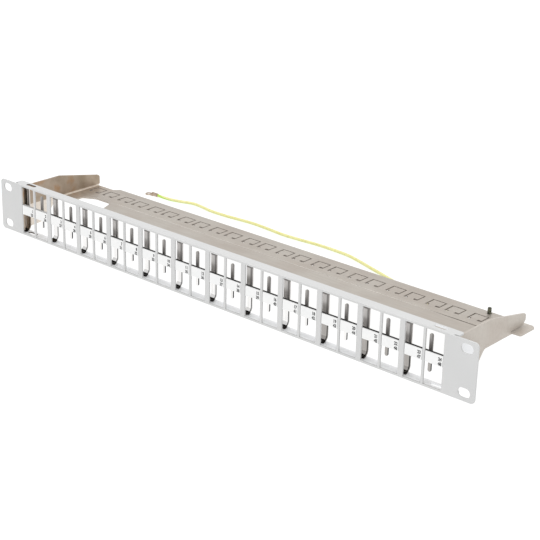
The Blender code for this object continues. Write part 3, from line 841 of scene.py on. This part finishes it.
def eye_mesh():
    """The stamped eye and neck of a lug, lying on the XY plane with rounded edges."""
    curve = bpy.data.curves.new("eye", "CURVE")
    curve.dimensions = "2D"
    curve.fill_mode = "BOTH"
    curve.extrude = LUG_SHEET / 2 - LUG_SOFT
    curve.bevel_depth = LUG_SOFT
    curve.bevel_resolution = 2
    curve.offset = -LUG_SOFT
    side = math.asin(LUG_NECK / LUG_EYE)
    sweep = [side + (2 * math.pi - 2 * side) * i / EYE_STEPS for i in range(EYE_STEPS + 1)]
    outline = [(LUG_EYE * math.cos(a), LUG_EYE * math.sin(a)) for a in sweep]
    outline += [(BARREL_START + LUG_NECK, -LUG_NECK), (BARREL_START + LUG_NECK, LUG_NECK)]
    turn = [2 * math.pi * i / HOLE_STEPS for i in range(HOLE_STEPS)]
    hole = [(LUG_HOLE * math.cos(a), -LUG_HOLE * math.sin(a)) for a in turn]
    for points in (outline, hole):
        spline = curve.splines.new("POLY")
        spline.points.add(len(points) - 1)
        spline.use_cyclic_u = True
        for point, (x, y) in zip(spline.points, points):
            point.co = (x, y, 0, 1)
    mesh = curve_mesh(curve)
    mesh.transform(Matrix.Translation((0, 0, LUG_SHEET / 2)))
    work = bmesh.new()
    work.from_mesh(mesh)
    bmesh.ops.remove_doubles(work, verts=work.verts, dist=MERGE_DISTANCE)
    work.to_mesh(mesh)
    work.free()
    return mesh


def number_mesh(lines):
    """The port numbers of one marking plate as one flat mesh, seen from the front.

    Each line is a text and the height of its foot above the middle of the plate.
    """
    work = bmesh.new()
    for text, foot in lines:
        curve = bpy.data.curves.new("number", "FONT")
        curve.body = text
        curve.size = DIGIT_SIZE
        curve.align_x = "RIGHT"
        curve.extrude = INK_DEPTH / 2
        curve.offset = DIGIT_WEIGHT
        curve.resolution_u = 3
        mesh = curve_mesh(curve)
        mesh.transform(Matrix.Translation((0, 0, foot)) @ Matrix.Rotation(math.pi / 2, 4, "X"))
        work.from_mesh(mesh)
        bpy.data.meshes.remove(mesh)
    bmesh.ops.scale(work, vec=(DIGIT_NARROW, 1, 1), verts=work.verts)
    return to_mesh(work, "numbers")


def make_numbers(number, material):
    """The two port numbers on a marking plate: the upper row counts to 24, the lower one goes on."""
    low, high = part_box(f"label_plate_{number:02d}")
    middle = (low.z + high.z) / 2
    mesh = number_mesh([(str(number), UPPER_LINE), (str(number + 24), LOWER_LINE)])
    mesh.transform(Matrix.Translation((high.x - NUMBER_MARGIN, low.y - INK_DEPTH / 2 + INK_SINK, middle)))
    add(f"numbers_{number:02d}", mesh, f"label_{number:02d}", material)


# Lights and ground.


def make_floor(material):
    work = bmesh.new()
    bmesh.ops.create_grid(work, x_segments=1, y_segments=1, size=FLOOR_SIZE)
    mesh = to_mesh(work, "floor")
    mesh.materials.append(material)
    floor = bpy.data.objects.new("floor", mesh)
    floor.location = (0, 0, -FLOOR_DROP)
    bpy.context.scene.collection.objects.link(floor)


def make_light(name, place, target, size, power):
    """A soft box that faces its target."""
    data = bpy.data.lights.new(name, "AREA")
    data.shape = "RECTANGLE"
    data.size, data.size_y = size
    data.energy = power
    light = bpy.data.objects.new(name, data)
    bpy.context.scene.collection.objects.link(light)
    light.location = place
    light.rotation_euler = (Vector(target) - Vector(place)).to_track_quat("-Z", "Y").to_euler()


def make_world():
    world = bpy.data.worlds.new("studio")
    bpy.context.scene.world = world
    world.use_nodes = True
    background = world.node_tree.nodes["Background"]
    background.inputs["Color"].default_value = (1, 1, 1, 1)
    background.inputs["Strength"].default_value = WORLD_STRENGTH


make_camera()
make_world()
make_wire(insulation(), make_lugs(dull_tin()))
make_light("top", (0.0, 0.1, 1.7), (0, 0, 0), (1.8, 1.2), TOP_POWER)
make_light("front", (0.3, -1.6, 0.45), (0, 0, 0), (1.2, 0.8), FRONT_POWER)
make_floor(floor_surface())

paint = powder_coat("powder_coat", (0.560, 0.563, 0.562), (0.585, 0.585, 0.583))
# A lighter copy of the powder coat: painted light on the cheeks, the right tab slot and the top of the lower
# flange.
painted_highlight_coat = powder_coat("painted_highlight_coat", (0.86, 0.87, 0.885), (0.89, 0.90, 0.915))
plastic = label_plastic()
zinc = zinc_sheet()
# The T-slot walls: bare cut steel, darkened as painted shade.
slot_shade = cut_edge("slot_shade", (0.22, 0.19, 0.165), (0.36, 0.32, 0.29))
# Painted shade for the walls of the left tab slot.
tab_slot_shade = cut_edge("tab_slot_shade", (0.10, 0.08, 0.07), (0.18, 0.15, 0.13))
print_ink = ink()
front_plate = finish_node("front_panel", "panel", paint, 0.25 * MM)
# The walls of the left tab slot get painted shade.
mark_faces(front_plate, tab_slot_shade, TAB_SLOT)
# The right tab slot and the top of the lower flange get the lighter paint as painted light.
for place in (RIGHT_TAB_SLOT, LOWER_FLANGE):
    mark_faces(front_plate, painted_highlight_coat, place)
# The cheeks get the lighter paint as painted light.
for cheek in ("cheek_left", "cheek_right"):
    finish_node(cheek, "panel", painted_highlight_coat, 0.25 * MM)
finish_node("catch_frame", "panel", strap_steel(), 0.12 * MM)
manager = finish_node("cable_manager", "panel", zinc, 0.15 * MM)
# The T-slot walls get the cut edge colour, darkened as painted shade.
mark_faces(manager, slot_shade, T_SLOTS)
# The crease flanks get painted shade at the right end.
mark_faces(manager, crease_steel(), CREASE)
finish_node("label_rail", "panel", black_steel(), 0.10 * MM)
make_stud(thread_steel())
finish_node("earth_washer", "panel", zinc, 0.12 * MM)
make_nut(zinc)
for number in range(1, 25):
    finish_node(f"label_plate_{number:02d}", f"label_{number:02d}", plastic, 0.15 * MM)
    make_numbers(number, print_ink)

bpy.context.scene.view_settings.view_transform = "Standard"
